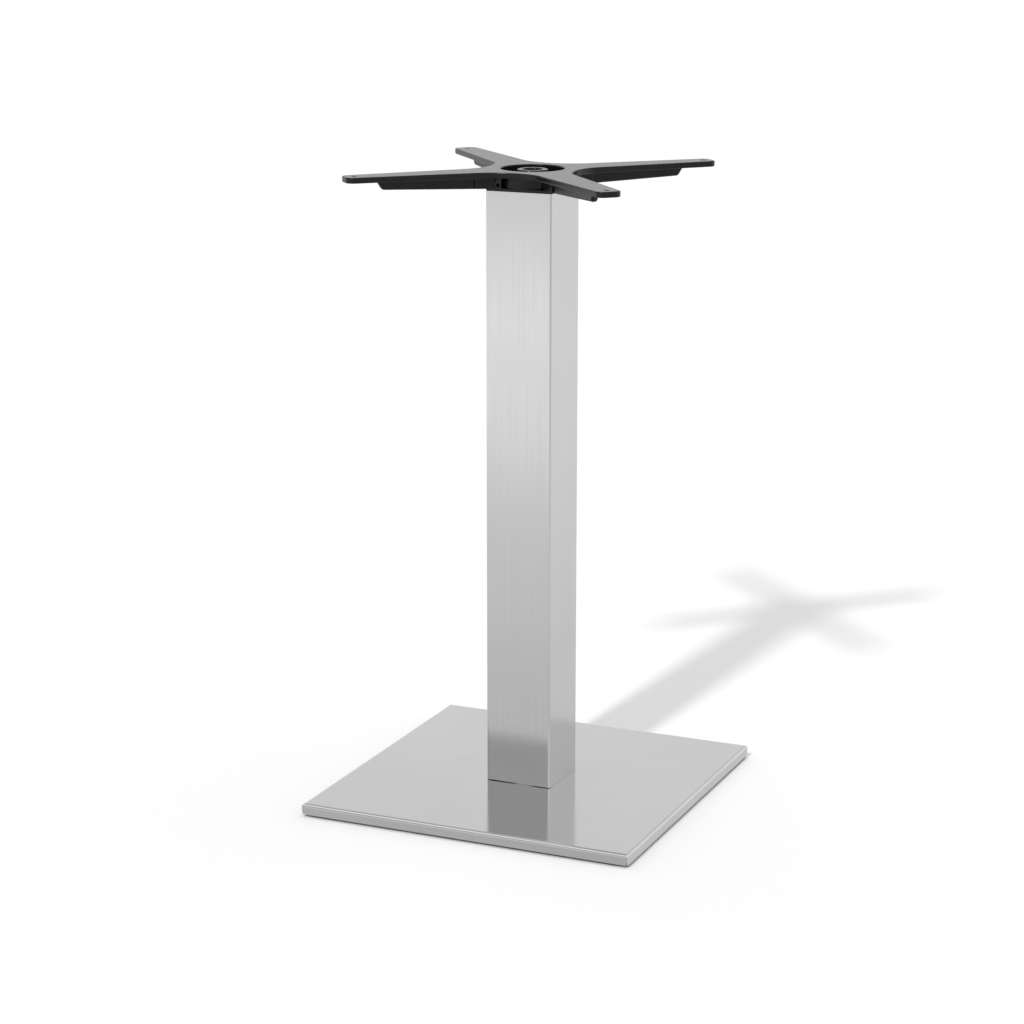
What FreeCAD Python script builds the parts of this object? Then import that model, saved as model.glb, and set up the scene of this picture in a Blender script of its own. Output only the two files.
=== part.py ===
import FreeCAD, Part
import math
import os

import Sketcher

# Square pedestal table base: a weighted square foot plate, a square column and a four-arm top bracket.
# Own frame: millimetres, +Z up, the origin on the floor under the column's centre line.
# The column's sides face X and Y, and the bracket's arms run along the diagonals.

DRIVING_SIZES = (
    ("overall_height", 730.0, "floor to the bracket's top face, with the feet screwed in"),
    ("floor_gap", 3.0, "floor to the cover's lower edge, with the feet screwed in"),
    ("base_side", 400.0, "outside of the square cover"),
    ("cover_height", 12.5, "top face to the lower edge of the folded skirt"),
    ("cover_sheet", 1.2, "thickness of the cover's steel"),
    ("cover_bend", 3.5, "outside radius of the folds"),
    ("seam_width", 2.0, "open joint between two skirts at each corner, at its lower end"),
    ("seam_height", 8.8, "height above the lower edge where that joint has closed"),
    ("ballast_thickness", 8.0, "thickness of the steel weight"),
    ("ballast_gap", 0.3, "from the weight's edge to where the fold of the skirt begins"),
    ("ballast_corner", 6.0, "radius of the weight's corners"),
    ("foot_inset", 45.0, "from the cover's outside to a foot's axis"),
    ("foot_pad_diameter", 30.0, "levelling foot"),
    ("foot_pad_edge", 1.0, "bevel round the pad's lower edge"),
    ("foot_stop_gap", 0.3, "from the pad to the weight, with the foot screwed in"),
    ("foot_stud_diameter", 8.0, "levelling foot's stud"),
    ("foot_stud_depth", 3.0, "length of the stud that is moulded into the pad"),
    ("stud_chamfer", 0.8, "bevel at a stud's tip"),
    ("thread_clearance", 0.05, "radial play of a stud or rod in its tapped hole"),
    ("column_side", 80.0, "outside of the square tube"),
    ("column_wall", 1.5, "thickness of the tube"),
    ("column_corner", 2.5, "outside radius of the tube's corners"),
    ("fit_clearance", 0.3, "from the tube's inside to what locates it"),
    ("locator_thickness", 6.0, "square plate inside the tube's foot"),
    ("locator_corner", 3.0, "radius of the corners of what fits in the tube"),
    ("locator_screw_spread", 44.0, "distance between two screws of that plate"),
    ("screw_diameter", 6.0, "countersunk screw"),
    ("screw_head_diameter", 12.0, "countersunk head"),
    ("screw_head_height", 3.0, "countersunk head"),
    ("screw_socket_flats", 4.0, "hexagon socket across the flats"),
    ("screw_socket_depth", 2.0, "hexagon socket"),
    ("screw_hole_clearance", 0.2, "radial play of a screw in the plate"),
    ("rod_diameter", 10.0, "threaded tie rod"),
    ("rod_chamfer", 1.0, "bevel at the rod's ends"),
    ("rod_hole_clearance", 0.5, "radial play of the rod in its through holes"),
    ("rod_below_top", 3.5, "from the bracket's top face down to the rod's end"),
    ("nut_flats", 16.0, "hexagon nut across the flats"),
    ("top_nut_height", 8.0, "clamping nut in the bracket"),
    ("lock_nut_height", 5.0, "thin nut at the rod's foot"),
    ("washer_diameter", 20.0, "plain washer"),
    ("washer_thickness", 2.0, "plain washer"),
    ("bracket_depth", 22.5, "top face down to the column's end"),
    ("hole_spacing", 296.0, "between neighbouring table-top screw holes"),
    ("hole_diameter", 6.0, "table-top screw hole"),
    ("hole_to_end", 11.7, "screw hole's centre to the end of its arm"),
    ("arm_root_width", 47.0, "an arm's sides carried on to the centre"),
    ("arm_tip_width", 27.5, "at the end of an arm"),
    ("arm_tip_corner", 9.0, "radius of the end's corners"),
    ("arm_thickness", 6.5, "flat top flange of an arm"),
    ("arm_edge", 1.2, "rounded rims of the casting"),
    ("crotch_radius", 60.0, "hollow between two arms, seen from above"),
    ("web_thickness", 8.0, "rib under an arm"),
    ("web_round", 3.2, "rounding of the rib's lower edges"),
    ("web_root_lift", 1.0, "from the column's end up to the rib beside the hub"),
    ("web_end_depth", 16.3, "top face down to the rib's lower edge at its far end"),
    ("web_to_hole", 25.3, "far end of the rib under the flange to the screw hole's centre"),
    ("web_slant", 6.5, "how far the rib's lower edge ends before that"),
    ("web_nose", 4.0, "rounding where the rib turns up to the flange"),
    ("web_root_round", 3.0, "hollow between a rib and the hub"),
    ("heel_reach", 71.0, "centre to the end of the thick inner part of a rib"),
    ("heel_thickness", 13.0, "that thick part"),
    ("heel_round", 1.5, "its upright corners"),
    ("hub_diameter", 79.0, "outside of the hub's wall"),
    ("seat_thickness", 3.0, "square seat on the column's end"),
    ("hub_wall", 3.5, "wall between the hub's outside and its dish"),
    ("hub_floor", 6.0, "floor of the dish above the column's end"),
    ("boss_diameter", 34.5, "ring around the nut"),
    ("well_diameter", 22.5, "inside of that ring"),
    ("boss_below_top", 1.0, "from the top face down to the ring"),
    ("spigot_height", 8.0, "square collar that reaches into the column"),
    ("spigot_wall", 4.0, "thickness of that collar"),
    ("lug_width", 8.0, "small cast lug beside the hub"),
    ("lug_height", 10.0, "the lug's upright outer side, above the column's end"),
    ("lug_offset", 25.0, "from the middle of the column's front side to the lug"),
    ("lug_setback", 0.6, "from the column's front side to the lug's face"),
    ("lug_hole", 4.2, "blind hole in the lug"),
    ("lug_hole_depth", 4.0, "blind hole in the lug"),
)

ARMS = 4
FEET = {"front_left": (-1, -1), "front_right": (1, -1), "back_left": (-1, 1), "back_right": (1, 1)}
SCREW_PLACES = ((-1, -1), (1, -1), (1, 1), (-1, 1))
DIAGONAL_ANGLE = 360 / ARMS / 2
NUT_FACE = 0.96  # width of a nut's end face inside its bevel, as a share of its flats
SMALLEST_ROUND = 0.2  # least radius of an inner fold, in millimetres
TOUCH = 0.01  # how near two places on a shape count as the same, in millimetres

doc = FreeCAD.newDocument("PedestalBase")
sheet = doc.addObject("Spreadsheet::Sheet", "Sizes")
for row, (alias, value, meaning) in enumerate(DRIVING_SIZES, start=1):
    sheet.set("A%d" % row, alias)
    sheet.set("B%d" % row, str(value))
    sheet.set("C%d" % row, meaning)
    sheet.setAlias("B%d" % row, alias)
doc.recompute()

# Heights above the floor, as formulas on the sheet.
COVER_TOP = "(Sizes.floor_gap + Sizes.cover_height)"
BALLAST_TOP = "(%s - Sizes.cover_sheet)" % COVER_TOP
BALLAST_BOTTOM = "(%s - Sizes.ballast_thickness)" % BALLAST_TOP
LOCATOR_TOP = "(%s + Sizes.locator_thickness)" % COVER_TOP
COLUMN_TOP = "(Sizes.overall_height - Sizes.bracket_depth)"
HUB_FLOOR_TOP = "(%s + Sizes.hub_floor)" % COLUMN_TOP
ROD_TOP = "(Sizes.overall_height - Sizes.rod_below_top)"

# Sizes that two pieces share.
COLUMN_INSIDE = "(Sizes.column_side - 2 * Sizes.column_wall)"
SLIDE_IN_SIDE = "(%s - 2 * Sizes.fit_clearance)" % COLUMN_INSIDE
FOOT_PLACE = "(Sizes.base_side / 2 - Sizes.foot_inset)"
FOOT_PAD_HEIGHT = "(%s - Sizes.foot_stop_gap)" % BALLAST_BOTTOM
ROD_HOLE = "(Sizes.rod_diameter + 2 * Sizes.rod_hole_clearance)"
ROD_THREAD_HOLE = "(Sizes.rod_diameter + 2 * Sizes.thread_clearance)"
STUD_THREAD_HOLE = "(Sizes.foot_stud_diameter + 2 * Sizes.thread_clearance)"
SCREW_SHANK = "(%s - %s - Sizes.screw_head_height)" % (LOCATOR_TOP, BALLAST_BOTTOM)
HOLE_REACH = "(Sizes.hole_spacing / sqrt(2))"
ARM_REACH = "(%s + Sizes.hole_to_end)" % HOLE_REACH
WEB_TOP_REACH = "(%s - Sizes.web_to_hole)" % HOLE_REACH
WEB_END_REACH = "(%s - Sizes.web_slant)" % WEB_TOP_REACH
RECESS_RADIUS = "(Sizes.hub_diameter / 2 - Sizes.hub_wall)"
HUB_WALL_MIDDLE = "(Sizes.hub_diameter / 2 - Sizes.hub_wall / 2)"
INSIDE_FLANGE = "(Sizes.bracket_depth - Sizes.arm_thickness / 2)"

nodes = []


def size(name):
    """The number that the sheet holds under this alias."""
    return float(sheet.get(name))


def number(formula):
    """The value of a formula on the sheet, for a sketch's first drawing."""
    return float(sheet.evalExpression(formula))


def bind(thing, **formulas):
    """Ties properties to formulas; a double underscore stands for a dot."""
    for key, formula in formulas.items():
        thing.setExpression(key.replace("__", "."), formula)


def keep(thing, label):
    """Names a finished sub-part."""
    thing.Label = label
    nodes.append(thing)
    return thing


def new_body(label):
    return keep(doc.addObject("PartDesign::Body", "Body_" + label), label)


def new_sketch(body, name, plane="XY_Plane", lift="0", turn=0.0):
    """A sketch on one of the body's own planes, moved along its normal and turned about +Z."""
    sketch = body.newObject("Sketcher::SketchObject", name)
    support = [item for item in body.Origin.OriginFeatures if item.Role == plane][0]
    sketch.AttachmentSupport = [(support, "")]
    sketch.MapMode = "FlatFace"
    upright = FreeCAD.Vector(0, 0, 1) if plane == "XY_Plane" else FreeCAD.Vector(0, 1, 0)
    sketch.AttachmentOffset = FreeCAD.Placement(FreeCAD.Vector(0, 0, 0), FreeCAD.Rotation(upright, turn))
    bind(sketch, AttachmentOffset__Base__z=lift)
    return sketch


def dimension(sketch, kind, name, formula, *places):
    """Adds one named dimension and ties it to the sheet."""
    index = sketch.addConstraint(Sketcher.Constraint(kind, *places, number(formula)))
    sketch.renameConstraint(index, name)
    bind(sketch, **{"Constraints__" + name: formula})


def draw_loop(sketch, points):
    """Closes straight lines through the points and returns the first line's number."""
    first = sketch.GeometryCount
    count = len(points)
    for i in range(count):
        start = FreeCAD.Vector(points[i][0], points[i][1], 0)
        end = FreeCAD.Vector(points[(i + 1) % count][0], points[(i + 1) % count][1], 0)
        sketch.addGeometry(Part.LineSegment(start, end), False)
    for i in range(count):
        sketch.addConstraint(Sketcher.Constraint("Coincident", first + i, 2, first + (i + 1) % count, 1))
    return first


def draw_square(sketch, name, side):
    """A square about the sketch's origin."""
    half = number(side) / 2
    first = draw_loop(sketch, [(-half, -half), (half, -half), (half, half), (-half, half)])
    for i in (0, 2):
        sketch.addConstraint(Sketcher.Constraint("Horizontal", first + i))
        sketch.addConstraint(Sketcher.Constraint("Vertical", first + i + 1))
    sketch.addConstraint(Sketcher.Constraint("Symmetric", first, 1, first + 2, 1, -1, 1))
    dimension(sketch, "DistanceX", name + "_wide", side, first, 1, first, 2)
    dimension(sketch, "DistanceY", name + "_deep", side, first + 1, 1, first + 1, 2)


def draw_circle(sketch, name, diameter, along="0", across="0"):
    """A circle at a place along and across the sketch, measured from its origin."""
    centre = FreeCAD.Vector(number(along), number(across), 0)
    circle = sketch.addGeometry(Part.Circle(centre, FreeCAD.Vector(0, 0, 1), number(diameter) / 2), False)
    dimension(sketch, "Diameter", name + "_across", diameter, circle)
    if along == "0" and across == "0":
        sketch.addConstraint(Sketcher.Constraint("Coincident", circle, 3, -1, 1))
    else:
        dimension(sketch, "DistanceX", name + "_x", along, -1, 1, circle, 3)
        dimension(sketch, "DistanceY", name + "_y", across, -1, 1, circle, 3)


def pad(body, sketch, name, length, down=False, both=False):
    """Raises a sketch into a solid: up, down, or half to each side."""
    feature = body.newObject("PartDesign::Pad", name)
    feature.Profile = sketch
    feature.Reversed = down
    feature.Midplane = both
    bind(feature, Length=length)
    doc.recompute()
    return feature


def pocket(body, sketch, name, depth=None, up=False):
    """Cuts a sketch out of the solid, to a depth or right through, and checks that it cut."""
    before = body.Tip.Shape.Volume
    feature = body.newObject("PartDesign::Pocket", name)
    feature.Profile = sketch
    feature.Reversed = up
    if depth is None:
        feature.Type = "ThroughAll"
    else:
        bind(feature, Length=depth)
    doc.recompute()
    if feature.Shape.Volume >= before:
        raise RuntimeError(name + " cuts nothing")
    return feature


def edges_where(shape, test):
    """Names of the edges whose shape and box pass the test."""
    return ["Edge%d" % (i + 1) for i, edge in enumerate(shape.Edges) if test(edge, edge.BoundBox)]


def soften(body, name, test, radius, kind="PartDesign::Fillet"):
    """Rounds or bevels the edges of the newest feature that pass the test."""
    base = body.Tip
    names = edges_where(base.Shape, test)
    if not names:
        raise RuntimeError(name + " finds no edge")
    feature = body.newObject(kind, name)
    feature.Base = (base, names)
    bind(feature, **{"Radius" if kind.endswith("Fillet") else "Size": radius})
    doc.recompute()
    return feature


def repeat_around(body, features, name, count=ARMS):
    """Repeats features evenly around the body's Z axis."""
    pattern = body.newObject("PartDesign::PolarPattern", name)
    pattern.Originals = features
    pattern.Axis = ([item for item in body.Origin.OriginFeatures if item.Role == "Z_Axis"][0], [""])
    pattern.Angle = 360
    pattern.Occurrences = count
    body.Tip = pattern
    doc.recompute()
    return pattern


def is_upright(edge, box):
    return box.ZLength > TOUCH and box.XLength < TOUCH and box.YLength < TOUCH


def at_height(box, level):
    return abs(box.ZMin - level) < TOUCH and abs(box.ZMax - level) < TOUCH


def is_ring(edge):
    return isinstance(edge.Curve, Part.Circle) and edge.isClosed()


def make_base_cover():
    """Sheet-steel tray, folded down on four sides, with a joint at each corner that gapes downwards."""
    body = new_body("base_cover")
    sketch = new_sketch(body, "CoverOutline")
    draw_square(sketch, "cover", "Sizes.base_side")
    pad(body, sketch, "CoverBlank", "Sizes.cover_height")
    top = size("cover_height")
    soften(body, "CoverFold", lambda edge, box: at_height(box, top), "Sizes.cover_bend")
    sketch = new_sketch(body, "CoverInside")
    draw_square(sketch, "inside", "Sizes.base_side - 2 * Sizes.cover_sheet")
    pocket(body, sketch, "CoverHollow", "Sizes.cover_height - Sizes.cover_sheet", up=True)
    ceiling = top - size("cover_sheet")
    soften(body, "CoverInnerFold", lambda edge, box: at_height(box, ceiling),
           "max(Sizes.cover_bend - Sizes.cover_sheet; %g)" % SMALLEST_ROUND)
    sketch = new_sketch(body, "SeamOutline", plane="YZ_Plane", turn=DIAGONAL_ANGLE)
    half = size("seam_width") / 2
    first = draw_loop(sketch, [(-half, 0), (half, 0), (0, size("seam_height"))])
    sketch.addConstraint(Sketcher.Constraint("Symmetric", first, 1, first, 2, -1, 1))
    sketch.addConstraint(Sketcher.Constraint("Horizontal", first))
    sketch.addConstraint(Sketcher.Constraint("PointOnObject", first + 1, 2, -2))
    dimension(sketch, "DistanceX", "seam_opening", "Sizes.seam_width", first, 1, first, 2)
    dimension(sketch, "DistanceY", "seam_rise", "Sizes.seam_height", first, 1, first + 1, 2)
    seam = pocket(body, sketch, "CornerSeam", up=True)
    repeat_around(body, [seam], "CornerSeams")
    sketch = new_sketch(body, "CoverHoles")
    draw_circle(sketch, "rod", ROD_HOLE)
    for i, (x, y) in enumerate(SCREW_PLACES):
        draw_circle(sketch, "screw%d" % i, "Sizes.screw_diameter + 2 * Sizes.screw_hole_clearance",
                    "%d * Sizes.locator_screw_spread / 2" % x, "%d * Sizes.locator_screw_spread / 2" % y)
    pocket(body, sketch, "CoverPassages", up=True)
    bind(body, Placement__Base__z="Sizes.floor_gap")


def make_ballast_plate():
    """Steel weight under the cover, tapped for the rod, the feet and the locator's screws."""
    body = new_body("ballast_plate")
    sketch = new_sketch(body, "BallastOutline")
    draw_square(sketch, "ballast", "Sizes.base_side - 2 * (Sizes.cover_bend + Sizes.ballast_gap)")
    pad(body, sketch, "BallastSlab", "Sizes.ballast_thickness")
    soften(body, "BallastCorners", is_upright, "Sizes.ballast_corner")
    sketch = new_sketch(body, "BallastHoles")
    draw_circle(sketch, "rod", ROD_THREAD_HOLE)
    for name, (x, y) in FEET.items():
        draw_circle(sketch, name, STUD_THREAD_HOLE, "%d * %s" % (x, FOOT_PLACE), "%d * %s" % (y, FOOT_PLACE))
    for i, (x, y) in enumerate(SCREW_PLACES):
        draw_circle(sketch, "screw%d" % i, "Sizes.screw_diameter + 2 * Sizes.thread_clearance",
                    "%d * Sizes.locator_screw_spread / 2" % x, "%d * Sizes.locator_screw_spread / 2" % y)
    pocket(body, sketch, "BallastThreads", up=True)
    bind(body, Placement__Base__z=BALLAST_BOTTOM)


def make_foot(name, x, y):
    """Moulded pad on a steel stud, which screws up into the weight."""
    body = new_body("foot_pad_" + name)
    sketch = new_sketch(body, "PadOutline_" + name)
    draw_circle(sketch, "pad", "Sizes.foot_pad_diameter")
    pad(body, sketch, "PadDisc_" + name, FOOT_PAD_HEIGHT)
    soften(body, "PadEdge_" + name, lambda edge, box: at_height(box, 0), "Sizes.foot_pad_edge",
           kind="PartDesign::Chamfer")
    sketch = new_sketch(body, "PadSocket_" + name, lift=FOOT_PAD_HEIGHT)
    draw_circle(sketch, "socket", "Sizes.foot_stud_diameter")
    pocket(body, sketch, "PadBore_" + name, "Sizes.foot_stud_depth")
    bind(body, Placement__Base__x="%d * %s" % (x, FOOT_PLACE), Placement__Base__y="%d * %s" % (y, FOOT_PLACE))

    body = new_body("foot_stud_" + name)
    sketch = new_sketch(body, "StudOutline_" + name)
    draw_circle(sketch, "stud", "Sizes.foot_stud_diameter")
    length = "%s - %s + Sizes.foot_stud_depth - Sizes.foot_stop_gap" % (BALLAST_TOP, FOOT_PAD_HEIGHT)
    pad(body, sketch, "StudBar_" + name, length)
    tip = number(length)
    soften(body, "StudTip_" + name, lambda edge, box: at_height(box, tip), "Sizes.stud_chamfer",
           kind="PartDesign::Chamfer")
    bind(body, Placement__Base__x="%d * %s" % (x, FOOT_PLACE), Placement__Base__y="%d * %s" % (y, FOOT_PLACE),
         Placement__Base__z="%s - Sizes.foot_stud_depth" % FOOT_PAD_HEIGHT)


def make_column_tube():
    """Square welded tube with rounded corners, cut square at both ends."""
    body = new_body("column_tube")
    sketch = new_sketch(body, "TubeOutline")
    draw_square(sketch, "tube", "Sizes.column_side")
    pad(body, sketch, "TubeBar", "%s - %s" % (COLUMN_TOP, COVER_TOP))
    soften(body, "TubeCorners", is_upright, "Sizes.column_corner")
    sketch = new_sketch(body, "TubeInside")
    draw_square(sketch, "bore", COLUMN_INSIDE)
    pocket(body, sketch, "TubeHollow", up=True)
    inside = number(COLUMN_INSIDE) / 2
    soften(body, "TubeInnerCorners",
           lambda edge, box: is_upright(edge, box) and abs(abs(box.XMin) - inside) < TOUCH
           and abs(abs(box.YMin) - inside) < TOUCH,
           "max(Sizes.column_corner - Sizes.column_wall; %g)" % SMALLEST_ROUND)
    bind(body, Placement__Base__z=COVER_TOP)


def make_column_locator():
    """Square plate, screwed down through the cover, that holds the tube's foot in place."""
    body = new_body("column_locator")
    sketch = new_sketch(body, "LocatorOutline")
    draw_square(sketch, "locator", SLIDE_IN_SIDE)
    pad(body, sketch, "LocatorSlab", "Sizes.locator_thickness")
    soften(body, "LocatorCorners", is_upright, "Sizes.locator_corner")
    sketch = new_sketch(body, "LocatorHoles")
    draw_circle(sketch, "rod", ROD_HOLE)
    for i, (x, y) in enumerate(SCREW_PLACES):
        draw_circle(sketch, "screw%d" % i, "Sizes.screw_diameter + 2 * Sizes.screw_hole_clearance",
                    "%d * Sizes.locator_screw_spread / 2" % x, "%d * Sizes.locator_screw_spread / 2" % y)
    pocket(body, sketch, "LocatorPassages", up=True)
    top = size("locator_thickness")
    middle = size("rod_diameter") / 2
    soften(body, "Countersinks",
           lambda edge, box: at_height(box, top) and is_ring(edge) and abs(box.Center.x) > middle,
           "(Sizes.screw_head_diameter - Sizes.screw_diameter) / 2", kind="PartDesign::Chamfer")
    bind(body, Placement__Base__z=COVER_TOP)


def make_locator_screw(index, x, y):
    """Countersunk screw with a hexagon socket, flush with the locator plate."""
    shank = doc.addObject("Part::Cylinder", "Shank_%d" % index)
    bind(shank, Radius="Sizes.screw_diameter / 2", Height=SCREW_SHANK)
    head = doc.addObject("Part::Cone", "Head_%d" % index)
    bind(head, Radius1="Sizes.screw_diameter / 2",
         Radius2="Sizes.screw_head_diameter / 2 - Sizes.screw_hole_clearance",
         Height="Sizes.screw_head_height", Placement__Base__z=SCREW_SHANK)
    blank = doc.addObject("Part::Fuse", "Blank_%d" % index)
    blank.Base = shank
    blank.Tool = head
    socket = doc.addObject("Part::Prism", "Socket_%d" % index)
    socket.Polygon = 6
    bind(socket, Circumradius="Sizes.screw_socket_flats / sqrt(3)", Height="Sizes.screw_head_height",
         Placement__Base__z="%s + Sizes.screw_head_height - Sizes.screw_socket_depth" % SCREW_SHANK)
    screw = doc.addObject("Part::Cut", "Screw_%d" % index)
    screw.Base = blank
    screw.Tool = socket
    bind(screw, Placement__Base__x="%d * Sizes.locator_screw_spread / 2" % x,
         Placement__Base__y="%d * Sizes.locator_screw_spread / 2" % y, Placement__Base__z=BALLAST_BOTTOM)
    keep(screw, "locator_screw_%d" % index)


def make_tie_rod():
    """Long threaded rod from the weight to the bracket, which pulls the column between them."""
    body = new_body("tie_rod")
    sketch = new_sketch(body, "RodOutline")
    draw_circle(sketch, "rod", "Sizes.rod_diameter")
    pad(body, sketch, "RodBar", "%s - %s" % (ROD_TOP, BALLAST_BOTTOM))
    soften(body, "RodEnds", lambda edge, box: is_ring(edge), "Sizes.rod_chamfer",
           kind="PartDesign::Chamfer")
    bind(body, Placement__Base__z=BALLAST_BOTTOM)


def make_nut(label, height, level):
    """Hexagon nut with bevelled corners, around the rod."""
    hexagon = doc.addObject("Part::Prism", "Hexagon_" + label)
    hexagon.Polygon = 6
    bind(hexagon, Circumradius="Sizes.nut_flats / sqrt(3)", Height=height)
    trim = doc.addObject("Part::Cone", "Trim_" + label)
    face = "Sizes.nut_flats / 2 * %g" % NUT_FACE
    bind(trim, Radius1="%s + %s * sqrt(3)" % (face, height), Radius2=face, Height=height)
    bevelled = doc.addObject("Part::Common", "Bevelled_" + label)
    bevelled.Base = hexagon
    bevelled.Tool = trim
    bore = doc.addObject("Part::Cylinder", "Bore_" + label)
    bind(bore, Radius=ROD_THREAD_HOLE + " / 2", Height=height)
    nut = doc.addObject("Part::Cut", "Nut_" + label)
    nut.Base = bevelled
    nut.Tool = bore
    bind(nut, Placement__Base__z=level)
    keep(nut, label)


def make_washer(label, level):
    """Plain round washer around the rod."""
    disc = doc.addObject("Part::Cylinder", "Disc_" + label)
    bind(disc, Radius="Sizes.washer_diameter / 2", Height="Sizes.washer_thickness")
    bore = doc.addObject("Part::Cylinder", "Eye_" + label)
    bind(bore, Radius=ROD_HOLE + " / 2", Height="Sizes.washer_thickness")
    washer = doc.addObject("Part::Cut", "Washer_" + label)
    washer.Base = disc
    washer.Tool = bore
    bind(washer, Placement__Base__z=level)
    keep(washer, label)


def make_bracket_arms(body):
    """The four flat arms with their hollows and rounded ends, at the top of the casting."""
    lift = "Sizes.bracket_depth - Sizes.arm_thickness"
    sketch = new_sketch(body, "ArmOutline", lift=lift, turn=DIAGONAL_ANGLE)
    root = size("arm_root_width") / 2
    tip = size("arm_tip_width") / 2
    reach = number(ARM_REACH)
    first = draw_loop(sketch, [(0, -root), (reach, -tip), (reach, tip), (0, root)])
    sketch.addConstraint(Sketcher.Constraint("Symmetric", first, 1, first + 3, 1, -1))
    sketch.addConstraint(Sketcher.Constraint("Symmetric", first, 2, first + 1, 2, -1))
    sketch.addConstraint(Sketcher.Constraint("PointOnObject", first, 1, -2))
    dimension(sketch, "DistanceX", "reach", ARM_REACH, first, 1, first, 2)
    dimension(sketch, "DistanceY", "tip_width", "Sizes.arm_tip_width", first + 1, 1, first + 1, 2)
    dimension(sketch, "DistanceY", "root_width", "Sizes.arm_root_width", first, 1, first + 3, 1)
    arm = pad(body, sketch, "ArmFlange", "Sizes.arm_thickness")
    repeat_around(body, [arm], "ArmFlanges")
    near = reach / 2
    soften(body, "Crotches",
           lambda edge, box: is_upright(edge, box) and math.hypot(box.XMin, box.YMin) < near,
           "Sizes.crotch_radius")
    soften(body, "ArmEnds",
           lambda edge, box: is_upright(edge, box) and math.hypot(box.XMin, box.YMin) > reach - TOUCH,
           "Sizes.arm_tip_corner")
    top = size("bracket_depth")
    under = number(lift)
    soften(body, "Rims", lambda edge, box: at_height(box, top) or at_height(box, under), "Sizes.arm_edge")


def make_bracket_webs(body):
    """One rib under each arm, deepest at the hub and turned up at its far end."""
    low = "Sizes.bracket_depth - Sizes.web_end_depth"
    sketch = new_sketch(body, "WebOutline", plane="XZ_Plane", turn=DIAGONAL_ANGLE)
    slope = "Sizes.web_slant / (Sizes.web_end_depth - Sizes.arm_thickness)"
    far = "%s + Sizes.arm_thickness / 2 * %s" % (WEB_TOP_REACH, slope)
    start = number(HUB_WALL_MIDDLE)
    high = number(INSIDE_FLANGE)
    first = draw_loop(sketch, [(start, size("web_root_lift")), (number(WEB_END_REACH), number(low)),
                               (number(far), high), (start, high)])
    sketch.addConstraint(Sketcher.Constraint("Horizontal", first + 2))
    sketch.addConstraint(Sketcher.Constraint("Vertical", first + 3))
    dimension(sketch, "DistanceX", "start", HUB_WALL_MIDDLE, -1, 1, first, 1)
    dimension(sketch, "DistanceY", "root", "Sizes.web_root_lift", -1, 1, first, 1)
    dimension(sketch, "DistanceX", "end", WEB_END_REACH, -1, 1, first, 2)
    dimension(sketch, "DistanceY", "low", low, -1, 1, first, 2)
    dimension(sketch, "DistanceX", "far", far, -1, 1, first + 1, 2)
    dimension(sketch, "DistanceY", "high", INSIDE_FLANGE, -1, 1, first + 1, 2)
    web = pad(body, sketch, "Web", "Sizes.web_thickness", both=True)
    repeat_around(body, [web], "Webs")
    nose = number(low)
    soften(body, "WebNoses",
           lambda edge, box: at_height(box, nose) and abs(edge.Length - size("web_thickness")) < TOUCH,
           "Sizes.web_nose")
    flange = number("Sizes.bracket_depth - Sizes.arm_thickness")
    soften(body, "WebBeads",
           lambda edge, box: box.ZMin < flange - TOUCH and box.ZMin < box.ZMax - TOUCH
           and box.ZMax < flange and edge.Length > number(WEB_END_REACH) / 2,
           "Sizes.web_round")


def make_bracket_heels(body):
    """The thick inner part of each rib, which stands on the seat and reaches past the column's corner."""
    sketch = new_sketch(body, "HeelOutline", plane="XZ_Plane", turn=DIAGONAL_ANGLE)
    start = number(HUB_WALL_MIDDLE)
    end = size("heel_reach")
    low = size("seat_thickness")
    high = number(INSIDE_FLANGE)
    first = draw_loop(sketch, [(start, low), (end, low), (end, high), (start, high)])
    for i in (0, 2):
        sketch.addConstraint(Sketcher.Constraint("Horizontal", first + i))
        sketch.addConstraint(Sketcher.Constraint("Vertical", first + i + 1))
    dimension(sketch, "DistanceX", "start", HUB_WALL_MIDDLE, -1, 1, first, 1)
    dimension(sketch, "DistanceX", "end", "Sizes.heel_reach", -1, 1, first, 2)
    dimension(sketch, "DistanceY", "low", "Sizes.seat_thickness", -1, 1, first, 1)
    dimension(sketch, "DistanceY", "high", INSIDE_FLANGE, -1, 1, first + 1, 2)
    heel = pad(body, sketch, "Heel", "Sizes.heel_thickness", both=True)
    repeat_around(body, [heel], "Heels")
    corner = math.hypot(end, size("heel_thickness") / 2)
    soften(body, "HeelCorners",
           lambda edge, box: is_upright(edge, box) and abs(math.hypot(box.XMin, box.YMin) - corner) < TOUCH,
           "Sizes.heel_round")


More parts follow.
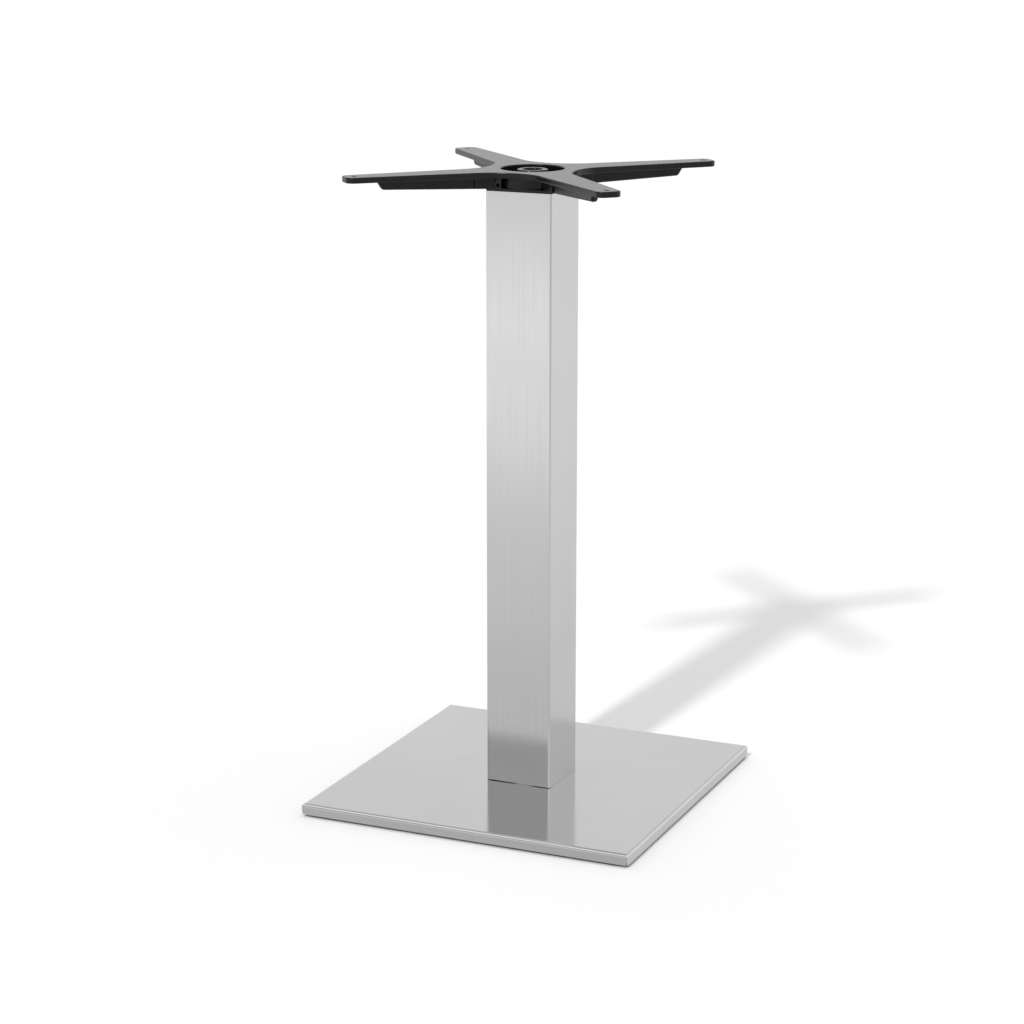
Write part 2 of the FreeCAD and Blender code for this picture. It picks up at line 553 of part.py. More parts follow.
def make_bracket_lug(body):
    """Small lug with a blind hole, on the seat beside the hub; its top slants up to the flange."""
    face = "(Sizes.column_side / 2 - Sizes.lug_setback)"
    left = "(Sizes.lug_offset + Sizes.lug_width / 2)"
    sketch = new_sketch(body, "LugOutline", plane="XZ_Plane", lift=face)
    near = -number(left)
    far = near + size("lug_width")
    first = draw_loop(sketch, [(near, 0), (far, 0), (far, number(INSIDE_FLANGE)), (near, size("lug_height"))])
    sketch.addConstraint(Sketcher.Constraint("PointOnObject", first, 1, -1))
    sketch.addConstraint(Sketcher.Constraint("Horizontal", first))
    sketch.addConstraint(Sketcher.Constraint("Vertical", first + 1))
    sketch.addConstraint(Sketcher.Constraint("Vertical", first + 3))
    dimension(sketch, "DistanceX", "left", left, first, 1, -1, 1)
    dimension(sketch, "DistanceX", "width", "Sizes.lug_width", first, 1, first, 2)
    dimension(sketch, "DistanceY", "far_height", INSIDE_FLANGE, first + 1, 1, first + 1, 2)
    dimension(sketch, "DistanceY", "near_height", "Sizes.lug_height", first, 1, first + 2, 2)
    pad(body, sketch, "Lug", "%s - sqrt(%s ^ 2 - %s ^ 2)" % (face, HUB_WALL_MIDDLE, left), down=True)
    sketch = new_sketch(body, "LugHoleOutline", plane="XZ_Plane", lift=face)
    middle = "(Sizes.seat_thickness + Sizes.lug_height) / 2"
    draw_circle(sketch, "hole", "Sizes.lug_hole", "-Sizes.lug_offset", middle)
    pocket(body, sketch, "LugHole", "Sizes.lug_hole_depth")


def make_bracket_hub(body):
    """Cup-shaped middle with its square seat, the ring round the nut and the collar in the column."""
    sketch = new_sketch(body, "HubOutline")
    draw_circle(sketch, "hub", "Sizes.hub_diameter")
    pad(body, sketch, "Hub", INSIDE_FLANGE)
    sketch = new_sketch(body, "SeatOutline")
    draw_square(sketch, "seat", "Sizes.column_side")
    pad(body, sketch, "Seat", "Sizes.seat_thickness")
    corner = size("column_side") / 2
    soften(body, "SeatCorners",
           lambda edge, box: is_upright(edge, box) and abs(abs(box.XMin) - corner) < TOUCH
           and abs(abs(box.YMin) - corner) < TOUCH,
           "Sizes.column_corner")
    hub = size("hub_diameter") / 2
    soften(body, "WebRoots",
           lambda edge, box: is_upright(edge, box) and abs(math.hypot(box.XMin, box.YMin) - hub) < TOUCH
           and box.ZMax > size("seat_thickness") + TOUCH,
           "Sizes.web_root_round")
    make_bracket_lug(body)
    sketch = new_sketch(body, "RecessOutline", lift="Sizes.hub_floor")
    draw_circle(sketch, "recess", "2 * %s" % RECESS_RADIUS)
    pocket(body, sketch, "Recess", up=True)
    top = size("bracket_depth")
    soften(body, "RecessRim", lambda edge, box: at_height(box, top) and is_ring(edge), "Sizes.arm_edge")
    sketch = new_sketch(body, "BossOutline", lift="Sizes.hub_floor")
    draw_circle(sketch, "boss", "Sizes.boss_diameter")
    draw_circle(sketch, "well", "Sizes.well_diameter")
    pad(body, sketch, "Boss", "Sizes.bracket_depth - Sizes.hub_floor - Sizes.boss_below_top")
    crown = number("Sizes.bracket_depth - Sizes.boss_below_top")
    soften(body, "BossRim", lambda edge, box: at_height(box, crown) and is_ring(edge), "Sizes.arm_edge")
    sketch = new_sketch(body, "SpigotOutline")
    draw_square(sketch, "spigot", SLIDE_IN_SIDE)
    pad(body, sketch, "SpigotBlock", "Sizes.spigot_height", down=True)
    foot = -size("spigot_height")
    soften(body, "SpigotCorners",
           lambda edge, box: is_upright(edge, box) and abs(box.ZMin - foot) < TOUCH,
           "Sizes.locator_corner")
    sketch = new_sketch(body, "SpigotInside", lift="-Sizes.spigot_height")
    draw_square(sketch, "inside", "%s - 2 * Sizes.spigot_wall" % SLIDE_IN_SIDE)
    pocket(body, sketch, "SpigotHollow", "Sizes.spigot_height", up=True)


def make_bracket_holes(body):
    """The rod's passage in the middle and a table-top screw hole near the end of each arm."""
    sketch = new_sketch(body, "RodPassage")
    draw_circle(sketch, "rod", ROD_HOLE)
    pocket(body, sketch, "RodHole", up=True)
    sketch = new_sketch(body, "ScrewPassage", turn=DIAGONAL_ANGLE)
    draw_circle(sketch, "hole", "Sizes.hole_diameter", HOLE_REACH, "0")
    hole = pocket(body, sketch, "ScrewHole", up=True)
    repeat_around(body, [hole], "ScrewHoles")


def make_spider_bracket():
    """One iron casting: four ribbed arms on a cup-shaped hub."""
    body = new_body("spider_bracket")
    make_bracket_arms(body)
    make_bracket_webs(body)
    make_bracket_heels(body)
    make_bracket_hub(body)
    make_bracket_holes(body)
    bind(body, Placement__Base__z=COLUMN_TOP)


def check_and_write():
    """Refuses failed or broken solids, then writes one file for each node."""
    doc.recompute()
    for thing in doc.Objects:
        if "Invalid" in thing.State or "Error" in thing.State:
            raise RuntimeError("%s is in state %s" % (thing.Name, thing.State))
    for node in nodes:
        if node.Shape.isNull() or not node.Shape.isValid() or len(node.Shape.Solids) != 1:
            raise RuntimeError(node.Label + " is not one valid solid")
    os.makedirs("parts", exist_ok=True)
    for node in nodes:
        node.Shape.exportStep("parts/%s.step" % node.Label)
        box = node.Shape.BoundBox
        print("%-26s %10.1f mm3   z %7.2f to %7.2f" % (node.Label, node.Shape.Volume, box.ZMin, box.ZMax))


make_base_cover()
make_ballast_plate()
for foot_name, (side_x, side_y) in FEET.items():
    make_foot(foot_name, side_x, side_y)
make_column_locator()
for count, (side_x, side_y) in enumerate(SCREW_PLACES, start=1):
    make_locator_screw(count, side_x, side_y)
make_column_tube()
make_tie_rod()
make_washer("lock_washer", LOCATOR_TOP)
make_nut("lock_nut", "Sizes.lock_nut_height", "%s + Sizes.washer_thickness" % LOCATOR_TOP)
make_spider_bracket()
make_washer("top_washer", HUB_FLOOR_TOP)
make_nut("top_nut", "Sizes.top_nut_height", "%s + Sizes.washer_thickness" % HUB_FLOOR_TOP)
check_and_write()
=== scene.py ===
import bmesh
import bpy
import math
import numpy as np
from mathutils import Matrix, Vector


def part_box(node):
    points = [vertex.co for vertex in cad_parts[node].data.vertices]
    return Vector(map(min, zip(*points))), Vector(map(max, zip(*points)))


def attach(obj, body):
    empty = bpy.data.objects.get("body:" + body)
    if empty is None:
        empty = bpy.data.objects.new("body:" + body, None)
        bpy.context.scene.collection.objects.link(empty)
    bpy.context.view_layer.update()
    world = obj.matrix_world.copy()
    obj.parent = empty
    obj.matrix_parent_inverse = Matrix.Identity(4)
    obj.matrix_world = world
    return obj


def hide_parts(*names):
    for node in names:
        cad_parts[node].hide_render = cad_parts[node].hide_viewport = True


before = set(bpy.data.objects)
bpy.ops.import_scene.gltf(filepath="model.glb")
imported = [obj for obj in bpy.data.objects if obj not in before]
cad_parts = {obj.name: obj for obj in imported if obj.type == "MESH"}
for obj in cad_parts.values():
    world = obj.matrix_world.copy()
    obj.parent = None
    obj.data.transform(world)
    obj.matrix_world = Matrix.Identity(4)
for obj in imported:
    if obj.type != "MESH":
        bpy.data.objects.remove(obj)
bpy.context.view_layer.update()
print("frame loaded:", len(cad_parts), "nodes")

mm = 0.001
fullTurn = 2 * math.pi
scene = bpy.context.scene
corners = ("front_left", "front_right", "back_left", "back_right")


def hexColour(code):    # sRGB hex digits to the linear colour that a socket takes
    channels = [int(code[i:i + 2], 16) / 255 for i in (0, 2, 4)]
    return [c / 12.92 if c <= 0.04045 else ((c + 0.055) / 1.055) ** 2.4 for c in channels] + [1.0]


def addNode(tree, kind, values=None, links=None, **settings):
    # one node with its options, its socket values and the links into it
    node = tree.nodes.new(kind)
    for key, value in settings.items():
        setattr(node, key, value)
    for socket, value in (values or {}).items():
        node.inputs[socket].default_value = value
    for socket, source in (links or {}).items():
        tree.links.new(source, node.inputs[socket])
    return node


def newMaterial(name):
    material = bpy.data.materials.new(name)
    material.use_nodes = True
    material.node_tree.nodes.clear()
    return material, material.node_tree


def makeFinish(tree, p, tone, gloss, height, links=None):
    # Three grey patterns drive a finish: tone takes its colour from dark to light, gloss takes its roughness
    # from the first value to the second, and height is its fine relief. A pattern counts between two greys.
    low, high = p["greys"]
    share = addNode(tree, "ShaderNodeMapRange", {"From Min": low, "From Max": high}, {"Value": tone})
    # a Mix node's two colours are its sockets 6 and 7, and the mixed colour is its output 2
    colour = addNode(tree, "ShaderNodeMix", {6: hexColour(p["dark"]), 7: hexColour(p["light"])},
                     {0: share.outputs["Result"]}, data_type="RGBA")
    rough = addNode(tree, "ShaderNodeMapRange", {
        "From Min": low, "From Max": high, "To Min": p["roughness"][0], "To Max": p["roughness"][1],
    }, {"Value": gloss})
    relief = addNode(tree, "ShaderNodeBump", {"Strength": p["bump"], "Distance": p["bumpDepth"]},
                     {"Height": height})
    shader = addNode(tree, "ShaderNodeBsdfPrincipled", p["shader"], {
        "Base Color": colour.outputs[2], "Roughness": rough.outputs["Result"],
        "Normal": relief.outputs["Normal"], **(links or {}),
    })
    addNode(tree, "ShaderNodeOutputMaterial", links={"Surface": shader.outputs["BSDF"]})


# Stainless steel sheet and tube, satin ground on a belt: fine scratches all one way, a soft but clear mirror
# that smears across them, and a slow change of tone where the belt pressed harder. The darker tone is the
# rougher one.
brushedSteel = {
    "light": "DADADA", "dark": "CFCFCF", "greys": (0.3, 0.65),
    "tube": {"along": "Z", "roughness": (0.23, 0.17)},    # ground on a coarser belt than the sheet
    "sheet": {"along": "X", "roughness": (0.16, 0.10)},
    "lineWidth": 0.7 * mm,    # the real scratches are 0.1 mm apart, drawn coarser here so that they show
    "lineLength": 170 * mm,
    "lines": {"Scale": 1.0, "Detail": 3.0, "Roughness": 0.6},    # the width and the length set their size
    "lineShare": 0.5,
    "patches": {"Scale": 1 / (120 * mm), "Detail": 1.0, "Roughness": 0.5},
    "patchGreys": {"From Min": 0.3, "From Max": 0.7, "To Min": 0.2, "To Max": 0.3},
    "sideGreys": {"From Min": 0.6, "From Max": 0.8},    # a face that looks along X this far is a side skirt
    "bump": 0.015, "bumpDepth": 0.01 * mm,
    "shader": {"Metallic": 1.0, "Anisotropic": 0.55},
}


def brushedStainless(name, use, p=brushedSteel):
    material, tree = newMaterial(name)
    coordinates = addNode(tree, "ShaderNodeTexCoord").outputs
    place = coordinates["Object"]
    across, along = 1 / p["lineWidth"], 1 / p["lineLength"]
    upright = addNode(tree, "ShaderNodeMapping", {"Scale": (across, across, along)}, {"Vector": place})
    down = addNode(tree, "ShaderNodeTexNoise", p["lines"], {"Vector": upright.outputs["Vector"]})
    lines = down.outputs["Fac"]
    if use["along"] == "X":
        # the scratches lie along X on the top and on the skirts that face Y, and run down those that face X
        level = addNode(tree, "ShaderNodeMapping", {"Scale": (along, across, across)}, {"Vector": place})
        flat = addNode(tree, "ShaderNodeTexNoise", p["lines"], {"Vector": level.outputs["Vector"]})
        looking = addNode(tree, "ShaderNodeSeparateXYZ", links={"Vector": coordinates["Normal"]})
        facing = addNode(tree, "ShaderNodeMath", links={0: looking.outputs["X"]}, operation="ABSOLUTE")
        side = addNode(tree, "ShaderNodeMapRange", p["sideGreys"], {"Value": facing.outputs["Value"]})
        both = addNode(tree, "ShaderNodeMix", links={
            0: side.outputs["Result"], 2: flat.outputs["Fac"], 3: down.outputs["Fac"]})
        lines = both.outputs[0]
    cloud = addNode(tree, "ShaderNodeTexNoise", p["patches"], {"Vector": place})
    patches = addNode(tree, "ShaderNodeMapRange", p["patchGreys"], {"Value": cloud.outputs["Fac"]})
    tone = addNode(tree, "ShaderNodeMath", {1: p["lineShare"]}, {0: lines, 2: patches.outputs["Result"]},
                   operation="MULTIPLY_ADD").outputs["Value"]
    # the mirror smears across the scratches: the tangent runs round the axis that they follow
    tangent = addNode(tree, "ShaderNodeTangent", direction_type="RADIAL", axis=use["along"])
    makeFinish(tree, {**p, "roughness": use["roughness"]}, tone, tone, lines,
               {"Tangent": tangent.outputs["Tangent"]})
    return material


# Iron sand casting under black powder coat: a slightly pebbled semi-gloss skin, a little duller on its bumps,
# which goes pale where it is seen at a flat angle.
powderCoat = {
    "light": "121213", "dark": "09090A", "greys": (0.3, 0.7), "roughness": (0.20, 0.30),
    "pebble": {"Scale": 1 / (1.6 * mm), "Detail": 3.0, "Roughness": 0.55},
    "swell": {"Scale": 1 / (14 * mm), "Detail": 2.0, "Roughness": 0.5},
    "pebbleShare": 0.5, "bump": 0.12, "bumpDepth": 0.08 * mm,
    "shader": {"IOR": 1.5, "Specular IOR Level": 0.35},
}


def powderCoatedIron(p=powderCoat):
    material, tree = newMaterial("powderCoatedCastIron")
    place = addNode(tree, "ShaderNodeTexCoord").outputs["Object"]
    pebble = addNode(tree, "ShaderNodeTexNoise", p["pebble"], {"Vector": place}).outputs["Fac"]
    swell = addNode(tree, "ShaderNodeTexNoise", p["swell"], {"Vector": place}).outputs["Fac"]
    height = addNode(tree, "ShaderNodeMath", {1: p["pebbleShare"]}, {0: pebble, 2: swell},
                     operation="MULTIPLY_ADD")
    makeFinish(tree, p, swell, pebble, height.outputs["Value"])
    return material


# Mild steel plate under thin black paint: flat and dull, with the grain of the rolled plate showing through.
paintedSteel = {
    "light": "2B2B2C", "dark": "1B1B1C", "greys": (0.3, 0.7), "roughness": (0.5, 0.66),
    "grain": {"Scale": 1 / (3 * mm), "Detail": 4.0, "Roughness": 0.6}, "bump": 0.15, "bumpDepth": 0.1 * mm,
    "shader": {"IOR": 1.5},
}


def blackPaintedSteel(p=paintedSteel):
    material, tree = newMaterial("blackPaintedSteel")
    place = addNode(tree, "ShaderNodeTexCoord").outputs["Object"]
    grain = addNode(tree, "ShaderNodeTexNoise", p["grain"], {"Vector": place}).outputs["Fac"]
    makeFinish(tree, p, grain, grain, grain)
    return material


# Bright zinc plating on rolled threads and turned nuts: cool grey, slightly cloudy, with fine tool marks.
zincPlating = {
    "light": "C6CACD", "dark": "A9AEB2", "greys": (0.3, 0.7), "roughness": (0.26, 0.42),
    "cloud": {"Scale": 1 / (5 * mm), "Detail": 3.0, "Roughness": 0.5},
    "marks": {"Scale": 1 / (0.35 * mm), "Detail": 2.0, "Roughness": 0.5}, "bump": 0.1, "bumpDepth": 0.02 * mm,
    "shader": {"Metallic": 1.0},
}


def zincPlated(p=zincPlating):
    material, tree = newMaterial("zincPlatedSteel")
    place = addNode(tree, "ShaderNodeTexCoord").outputs["Object"]
    cloud = addNode(tree, "ShaderNodeTexNoise", p["cloud"], {"Vector": place}).outputs["Fac"]
    marks = addNode(tree, "ShaderNodeTexNoise", p["marks"], {"Vector": place}).outputs["Fac"]
    makeFinish(tree, p, cloud, cloud, marks)
    return material


# Moulded black polyamide: even and dull, with the fine texture of a spark-eroded mould.
footPlastic = {
    "light": "202021", "dark": "161617", "greys": (0.3, 0.7), "roughness": (0.48, 0.58),
    "texture": {"Scale": 1 / (0.7 * mm), "Detail": 2.0, "Roughness": 0.5},
    "bump": 0.2, "bumpDepth": 0.05 * mm,
    "shader": {"IOR": 1.53},
}


def mouldedPolyamide(p=footPlastic):
    material, tree = newMaterial("mouldedPolyamide")
    place = addNode(tree, "ShaderNodeTexCoord").outputs["Object"]
    texture = addNode(tree, "ShaderNodeTexNoise", p["texture"], {"Vector": place}).outputs["Fac"]
    makeFinish(tree, p, texture, texture, texture)
    return material


columnSteel = brushedStainless("brushedStainlessTube", brushedSteel["tube"])
coverSteel = brushedStainless("brushedStainlessSheet", brushedSteel["sheet"])
castIron = powderCoatedIron()
blackSteel = blackPaintedSteel()
zinc = zincPlated()
polyamide = mouldedPolyamide()
print("materials made:", len(bpy.data.materials))

# The carried-over solids: what isn't named here is a nut, a washer, a screw, the rod or a stud.
nodeMaterials = {"base_cover": coverSteel, "column_tube": columnSteel, "spider_bracket": castIron,
                 "ballast_plate": blackSteel, "column_locator": blackSteel}
nodeMaterials.update(("foot_pad_" + corner, polyamide) for corner in corners)
for nodeName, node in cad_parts.items():
    node.data.materials.clear()
    node.data.materials.append(nodeMaterials.get(nodeName, zinc))
print("carried-over solids dressed")

meshing = {"weld": 0.0001 * mm, "sharpAngle": 38}    # edges that turn by more than the angle stay sharp


def gridPiece(name, points, material, body, nodeName, ring=False, p=meshing):
    # points: rows (v) by columns (u) by xyz, closed in u, and in v too for a ring; faces look along u cross v
    rows, columns = points.shape[:2]
    v, u = np.meshgrid(np.arange(rows if ring else rows - 1), np.arange(columns), indexing="ij")
    nextV, nextU = (v + 1) % rows, (u + 1) % columns
    quads = np.stack([v * columns + u, v * columns + nextU, nextV * columns + nextU, nextV * columns + u], -1)
    mesh = bpy.data.meshes.new(name)
    mesh.from_pydata(points.reshape(-1, 3).tolist(), [], quads.reshape(-1, 4).tolist())
    shape = bmesh.new()
    shape.from_mesh(mesh)
    bmesh.ops.remove_doubles(shape, verts=shape.verts, dist=p["weld"])    # closes the fans on an axis
    shape.to_mesh(mesh)
    shape.free()
    mesh.polygons.foreach_set("use_smooth", np.ones(len(mesh.polygons), bool))
    mesh.set_sharp_from_angle(angle=math.radians(p["sharpAngle"]))
    mesh.materials.append(material)
    mesh.update()
    piece = bpy.data.objects.new(name, mesh)
    scene.collection.objects.link(piece)
    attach(piece, body)
    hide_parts(nodeName)


# The column's tube: a closed section of the wall (out, up, in and down again, its edges broken) carried round
# a square with round corners. Each side sinks a little between its corners, by one less the square of the
# distance from its middle. The lower end is sawn a little out of square, so its gap is a cosine of the way
# round from where it is widest, closed on the far half, times a wave: a constant and the sum of three sines.
tube = {
    "node": "column_tube", "corner": 2.5 * mm, "wall": 1.5 * mm, "edge": 0.25 * mm, "sink": 0.10 * mm,
    "openAt": 295,    # degrees on from the start of the side that faces +X
    "cutGap": 0.45 * mm,
    "waves": ((0.42 * mm, 6, 180), (0.12 * mm, 13, 115), (0.06 * mm, 29, 0)),    # size, count round, start
    "cutReach": 20 * mm,    # from this height on the outside no longer follows the cut
    "perSide": 48, "perCorner": 8,
}


def columnTube(p=tube):
    low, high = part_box(p["node"])
    half = (high.x - low.x) / 2
    flat = half - p["corner"]
    side = np.linspace(-1, 1, p["perSide"] + 1)
    bend = np.linspace(0, math.pi / 2, p["perCorner"] + 1)[1:-1]
    # one quarter of the way round, at +X: its arc centre, its outward direction and how far it sinks
    centreX = np.full(len(side) + len(bend), flat)
    centreY = np.concatenate([side * flat, np.full_like(bend, flat)])
    outward = np.concatenate([np.zeros_like(side), bend])
    sink = np.concatenate([1 - side ** 2, np.zeros_like(bend)]) * p["sink"]
    # the four quarters, each turned on by a right angle
    turn = np.repeat(np.arange(4) * math.pi / 2, len(outward))
    centreX, centreY, outward, sink = (np.tile(part, 4) for part in (centreX, centreY, outward, sink))
    x = centreX * np.cos(turn) - centreY * np.sin(turn)
    y = centreX * np.sin(turn) + centreY * np.cos(turn)
    way = np.linspace(0, fullTurn, len(turn), endpoint=False)
    slant = np.maximum(np.cos(way - math.radians(p["openAt"])), 0)
    wave = sum(size * np.sin(count * way + math.radians(start)) for size, count, start in p["waves"])
    cut = slant * np.maximum(p["cutGap"] + wave, 0)
    # the section, row by row: the depth into the wall, the height, and 1 where the row follows the cut
    edge, wall = p["edge"], p["wall"]
    section = ((edge, low.z, 1), (0, low.z + edge, 1), (0, low.z + p["cutReach"], 0),
               (0, high.z - p["cutReach"], 0), (0, high.z - edge, 0), (edge, high.z, 0),
               (wall - edge, high.z, 0), (wall, high.z - edge, 0),
               (wall, low.z + edge, 1), (wall - edge, low.z, 1))
    depth, height, follows = np.array(section).T[:, :, None]
    reach = p["corner"] - depth - sink
    points = np.stack([x + reach * np.cos(outward + turn), y + reach * np.sin(outward + turn),
                       height + follows * cut], -1)
    gridPiece("columnTubeBrushed", points, columnSteel, "base", p["node"], ring=True)


columnTube()
print("column tube made")

# Screw threads. The radius is a function of the height and the angle: a triangle wave of the height in
# pitches less the angle in turns, faded out where the bar is plain and cut by a cone at each end.
rodThread = {"pitch": 1.5 * mm, "depth": 0.82 * mm, "threaded": 45 * mm, "bevel": 1.0 * mm, "around": 48,
             "perPitch": 8, "plainRows": 3}
studThread = {"pitch": 1.25 * mm, "depth": 0.68 * mm, "threaded": 20 * mm, "bevel": 0.8 * mm, "around": 40,
              "perPitch": 8, "plainRows": 3}


def threadedBar(name, nodeName, body, p):
    low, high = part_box(nodeName)
    centre = (low + high) / 2
    radius = (high.x - low.x) / 2
    length = high.z - low.z
    threaded = min(p["threaded"], length / 2)    # a short bar is threaded all along
    end = np.arange(0, threaded, p["pitch"] / p["perPitch"])
    plain = np.linspace(threaded, length - threaded, p["plainRows"])
    heights = np.concatenate([end, plain, length - end[::-1]])
    heights = np.unique(np.round(heights, 7))    # to a ten-thousandth of a millimetre, so no row comes twice
    angles = np.linspace(0, fullTurn, p["around"], endpoint=False)
    height, angle = np.meshgrid(heights, angles, indexing="ij")
    wave = np.abs(((height / p["pitch"] - angle / fullTurn) % 1.0) * 2 - 1)
    fromEnd = np.minimum(height, length - height)
    fade = np.clip((threaded - fromEnd) / (2 * p["pitch"]), 0, 1) if length > 2 * p["threaded"] else 1.0
    reach = np.minimum(radius - p["depth"] * wave * fade, radius - p["bevel"] + fromEnd)
    bar = np.stack([centre.x + reach * np.cos(angle), centre.y + reach * np.sin(angle), low.z + height], -1)
    foot = np.zeros_like(bar[:1]) + (centre.x, centre.y, low.z)
    crown = np.zeros_like(bar[:1]) + (centre.x, centre.y, high.z)
    gridPiece(name, np.concatenate([foot, bar, crown]), zinc, body, nodeName)


# Moulded pads: a profile of radius and height turned round its axis. It has rounded edges, and beneath it a
# hollow in the middle and a groove round a ring, whose edges slope and then ease on to the flat.
pad = {
    "node": "foot_pad_", "lowRound": 1.2 * mm, "highRound": 0.8 * mm, "draft": 0.1 * mm, "perRound": 6,
    "groove": 0.8 * mm, "ring": (6.0 * mm, 8.8 * mm), "outerRing": 11.2 * mm,
    "slope": (0.3 * mm, 0.1 * mm), "ease": 0.5 * mm,
    "socket": 4.05 * mm, "socketEdge": 0.3 * mm, "socketFloor": 3.0 * mm, "around": 96,
}


def footPad(corner, p=pad):
    nodeName = p["node"] + corner
    low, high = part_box(nodeName)
    centre = (low + high) / 2
    outer, top = (high.x - low.x) / 2, high.z - low.z
    bend = np.linspace(0, math.pi / 2, p["perRound"])
    lowRound, highRound = p["lowRound"], p["highRound"]
    lowEdge = np.stack([outer - lowRound + lowRound * np.sin(bend), lowRound - lowRound * np.cos(bend)], -1)
    highEdge = np.stack([outer - p["draft"] - highRound + highRound * np.cos(bend),
                         top - highRound + highRound * np.sin(bend)], -1)
    fall = np.array([(0, p["groove"]), p["slope"], (p["ease"], 0)])    # outwards, from a hollow to the flat
    rise = fall[::-1] * (-1, 1)
    inside, outside = p["ring"]
    socket, edge = p["socket"], p["socketEdge"]
    beneath = [[(0, p["groove"])], fall + (inside, 0), rise + (outside, 0), fall + (p["outerRing"], 0)]
    hole = [(socket + edge, top), (socket, top - edge), (socket, p["socketFloor"]), (0, p["socketFloor"])]
    profile = np.concatenate([*beneath, lowEdge, highEdge, hole])
    angles = np.linspace(0, fullTurn, p["around"], endpoint=False)
    radius, angle = np.meshgrid(profile[:, 0], angles, indexing="ij")
    height = np.repeat(profile[:, 1:], len(angles), axis=1)
    points = np.stack([centre.x + radius * np.cos(angle), centre.y + radius * np.sin(angle),
                       low.z + height], -1)
    gridPiece("footPadMoulded_" + corner, points, polyamide, "foot_" + corner, nodeName)


threadedBar("tieRodThreaded", "tie_rod", "base", rodThread)
for corner in corners:
    threadedBar("footStudThreaded_" + corner, "foot_stud_" + corner, "foot_" + corner, studThread)
    footPad(corner)
print("threads cut, foot pads turned")

# Studio: a pale floor, white soft light that comes more from behind than from the front, so that the skirt
# throws a soft shadow forward, and one sun lamp with a slightly soft edge, forty degrees up in front, which
# throws the column's shadow straight back over the floor.
studio = {
    "floorSide": 60.0, "floorColour": "ECECEC",
    "fillFront": 0.55, "fillBehind": 1.17, "fillTurn": 0.5,
    "sunFrom": (-0.049, -0.759, 0.649), "sunStrength": 1.7, "sunWidth": 3.5, "sunDistance": 3.0,
}

# What the steel mirrors, as pairs of the sine of the mirrored direction's height and a grey level: the lit
# bands of the studio in front of the object, the more even wall behind it, and the studio's end to its front
# right. That end is dull low down, with one brighter stretch, for the column's front edge, and bright above,
# for the plate as it is seen from behind.
mirrored = {
    "front": ((-0.37, 0.47), (-0.358, 0.57), (-0.348, 0.66), (-0.307, 0.62), (-0.28, 0.95), (-0.257, 0.50),
              (-0.236, 0.82), (-0.2, 1.24), (-0.165, 1.28), (-0.145, 1.08), (-0.128, 0.72), (0.0, 0.60),
              (0.2, 0.47), (0.5, 0.47), (0.66, 1.3), (0.78, 1.3), (0.88, 0.6), (1.0, 0.55)),
    "behind": ((-0.36, 0.71), (-0.3, 0.76), (-0.25, 0.84), (-0.19, 0.92), (-0.12, 0.88), (0.0, 0.95),
               (0.13, 1.05), (0.24, 0.95), (0.34, 0.80), (0.42, 0.78), (0.5, 0.68), (0.62, 0.54),
               (0.85, 0.48), (1.0, 0.55)),
    "beside": ((-0.36, 0.5), (-0.315, 0.57), (-0.307, 0.68), (-0.28, 0.82), (-0.236, 0.80), (-0.2, 0.68),
               (-0.165, 0.62), (-0.145, 0.60), (-0.128, 0.60), (0.0, 0.55), (0.15, 0.6), (0.27, 0.85),
               (0.32, 1.1), (0.4, 1.1), (0.48, 0.7), (1.0, 0.55)),
    "frontToBehind": 0.25,    # the front turns into the back from this far in front in Y to as far behind
    # the end's direction, and how far another points that way where the end begins and where it is all
    "besideTowards": (0.75, -0.66, 0.0), "besideFrom": 0.5, "besideAll": 0.85,
}


def makeFloor(p=studio):
    half = p["floorSide"] / 2
    mesh = bpy.data.meshes.new("studioFloor")
    ends = [(-half, -half, 0), (half, -half, 0), (half, half, 0), (-half, half, 0)]
    mesh.from_pydata(ends, [], [(0, 1, 2, 3)])
    floor = bpy.data.objects.new("studioFloor", mesh)
    scene.collection.objects.link(floor)
    material, tree = newMaterial("paintedFloor")
    paint = addNode(tree, "ShaderNodeBsdfDiffuse", {"Color": hexColour(p["floorColour"])})
    addNode(tree, "ShaderNodeOutputMaterial", links={"Surface": paint.outputs["BSDF"]})
    mesh.materials.append(material)
    floor.visible_glossy = False    # the steel mirrors the surround below the horizon instead


def mirroredGrey(tree, sine, stops):
    # the grey between the stops, over a sine that goes from straight down (-1) to straight up (1)
    where = addNode(tree, "ShaderNodeMapRange", {"From Min": -1.0, "From Max": 1.0}, {"Value": sine})
    ramp = addNode(tree, "ShaderNodeValToRGB", links={0: where.outputs["Result"]})
    elements = ramp.color_ramp.elements
    while len(elements) < len(stops):
        elements.new(1.0)
    for element, (height, level) in zip(elements, stops):
        element.position = (height + 1) / 2
        element.color = (level, level, level, 1)
    return ramp.outputs["Color"]


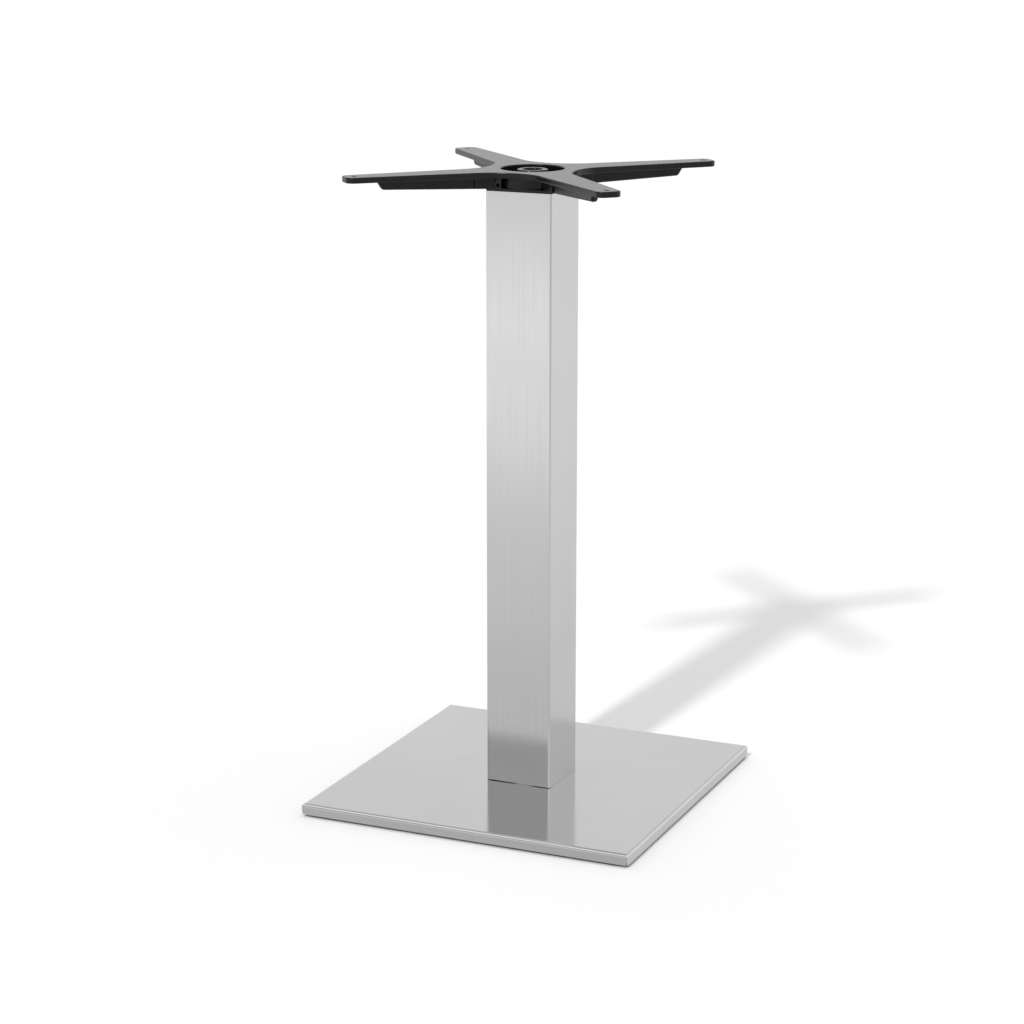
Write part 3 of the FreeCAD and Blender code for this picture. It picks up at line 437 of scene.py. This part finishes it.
def makeWorld(p=studio, m=mirrored):
    world = bpy.data.worlds.new("studioSurround")
    world.use_nodes = True
    scene.world = world
    tree = world.node_tree
    tree.nodes.clear()
    direction = addNode(tree, "ShaderNodeTexCoord").outputs["Generated"]
    parts = addNode(tree, "ShaderNodeSeparateXYZ", links={"Vector": direction}).outputs
    # what glossy rays see: the front or the back, and over them the end to the front right
    turn = m["frontToBehind"]
    back = addNode(tree, "ShaderNodeMapRange", {"From Min": -turn, "From Max": turn}, {"Value": parts["Y"]})
    walls = addNode(tree, "ShaderNodeMix", links={
        0: back.outputs["Result"], 6: mirroredGrey(tree, parts["Z"], m["front"]),
        7: mirroredGrey(tree, parts["Z"], m["behind"]),
    }, data_type="RGBA")
    towards = addNode(tree, "ShaderNodeVectorMath", {1: m["besideTowards"]}, {0: direction},
                      operation="DOT_PRODUCT")
    share = addNode(tree, "ShaderNodeMapRange", {"From Min": m["besideFrom"], "From Max": m["besideAll"]},
                    {"Value": towards.outputs["Value"]})
    room = addNode(tree, "ShaderNodeMix", links={
        0: share.outputs["Result"], 6: walls.outputs[2], 7: mirroredGrey(tree, parts["Z"], m["beside"]),
    }, data_type="RGBA")
    glossy = addNode(tree, "ShaderNodeBackground", {"Strength": 1.0}, {"Color": room.outputs[2]})
    # what lights the object softly
    soft = addNode(tree, "ShaderNodeMapRange", {
        "From Min": -p["fillTurn"], "From Max": p["fillTurn"],
        "To Min": p["fillFront"], "To Max": p["fillBehind"],
    }, {"Value": parts["Y"]})
    white = hexColour("FFFFFF")
    fill = addNode(tree, "ShaderNodeBackground", {"Color": white}, {"Strength": soft.outputs["Result"]})
    # what the camera sees behind the object, directly or through something clear
    backdrop = addNode(tree, "ShaderNodeBackground", {"Color": white, "Strength": 1.0})
    path = addNode(tree, "ShaderNodeLightPath").outputs
    light = addNode(tree, "ShaderNodeMixShader", links={
        0: path["Is Glossy Ray"], 1: fill.outputs["Background"], 2: glossy.outputs["Background"]})
    seen = addNode(tree, "ShaderNodeMath", links={0: path["Is Camera Ray"], 1: path["Is Transmission Ray"]},
                   operation="MAXIMUM")
    surround = addNode(tree, "ShaderNodeMixShader", links={
        0: seen.outputs["Value"], 1: light.outputs["Shader"], 2: backdrop.outputs["Background"]})
    addNode(tree, "ShaderNodeOutputWorld", links={"Surface": surround.outputs["Shader"]})


def makeSun(p=studio):
    lamp = bpy.data.lights.new("frontLight", "SUN")
    lamp.energy = p["sunStrength"]
    lamp.angle = math.radians(p["sunWidth"])
    sun = bpy.data.objects.new("frontLight", lamp)
    sun.location = [p["sunDistance"] * part for part in p["sunFrom"]]
    sun.rotation_euler = Vector(p["sunFrom"]).to_track_quat("Z", "Y").to_euler()
    scene.collection.objects.link(sun)


# The photograph's viewpoint, fitted to the edges of the plate, the column and the bracket with no shift of
# the lens. The place is in metres, the turn and the dip are in degrees.
camera = {"place": (1.194, -2.767, 1.092), "turn": 23.78, "dip": 14.12, "focalPixels": 2697.0,
          "framePixels": 1024.0, "sensor": 36.0, "near": 0.05, "far": 200.0}


def makeCamera(p=camera):
    data = bpy.data.cameras.new("photographView")
    data.sensor_width = p["sensor"]
    data.lens = p["focalPixels"] / p["framePixels"] * p["sensor"]
    data.clip_start, data.clip_end = p["near"], p["far"]
    view = bpy.data.objects.new("photographView", data)
    view.location = p["place"]
    view.rotation_euler = (math.radians(90 - p["dip"]), 0.0, math.radians(p["turn"]))
    scene.collection.objects.link(view)
    scene.camera = view


makeFloor()
makeWorld()
makeSun()
makeCamera()
scene.view_settings.view_transform = "Standard"
print("studio and camera ready")
